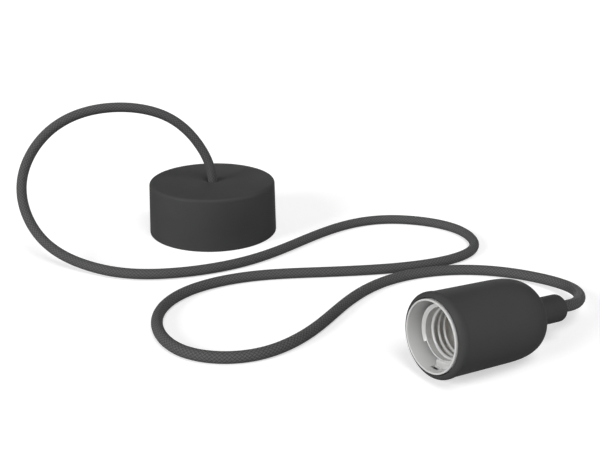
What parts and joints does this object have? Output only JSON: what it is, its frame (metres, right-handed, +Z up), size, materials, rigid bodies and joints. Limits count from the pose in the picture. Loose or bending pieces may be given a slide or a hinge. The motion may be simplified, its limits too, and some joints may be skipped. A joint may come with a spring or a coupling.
{
  "type": "pendant cord set",
  "caption": "Pendant cord set: a round silicone ceiling cup and a lamp holder in a silicone sleeve, joined by a round textile cord that lies in loose loops.",
  "frame": {"origin": "middle of the mounting plate's underside, the face that goes against the ceiling", "axes": "+Z up as the set lies: from the plate's underside to the cup's top, where the cord leaves. +X seen from above is the way that the lamp holder's axis points, from its mouth to its neck. +Y away from the lamp holder, which lies on the -Y side of the cup"},
  "size_m": [0.2784, 0.3102, 0.093],
  "materials": {
    "silicone": "smooth matte silicone, dark grey",
    "white_plastic": "white thermoplastic, satin",
    "polyamide": "off-white polyamide",
    "steel": "zinc-plated steel",
    "brass": "plain brass",
    "insulator": "cream thermoset",
    "nylon": "natural nylon",
    "brown_core": "brown wire insulation",
    "blue_core": "blue wire insulation",
    "textile": "braided textile sheath, dark grey"
  },
  "bodies": {
    "root": {"ceiling_cup": "silicone", "silicone_sleeve": "silicone", "mounting_plate": "white_plastic", "lampholder_shell": "white_plastic", "rear_cap": "white_plastic", "cord_clamp_bar": "polyamide", "terminal_housing": "polyamide", "cord_clamp_screw_1": "steel", "cord_clamp_screw_2": "steel", "wire_screw_live_cord": "steel", "wire_screw_live_mains": "steel", "wire_screw_neutral_cord": "steel", "wire_screw_neutral_mains": "steel", "terminal_fixing_screw": "steel", "holder_terminal_screw_live": "steel", "holder_terminal_screw_neutral": "steel", "terminal_barrel_live": "brass", "terminal_barrel_neutral": "brass", "centre_contact": "brass", "side_contact": "brass", "holder_terminal_live": "brass", "holder_terminal_neutral": "brass", "contact_carrier": "insulator", "grip_screw": "nylon", "core_live_cup": "brown_core", "core_live_holder": "brown_core", "core_neutral_cup": "blue_core", "core_neutral_holder": "blue_core", "textile_cord": "textile"}
  },
  "joints": []
}
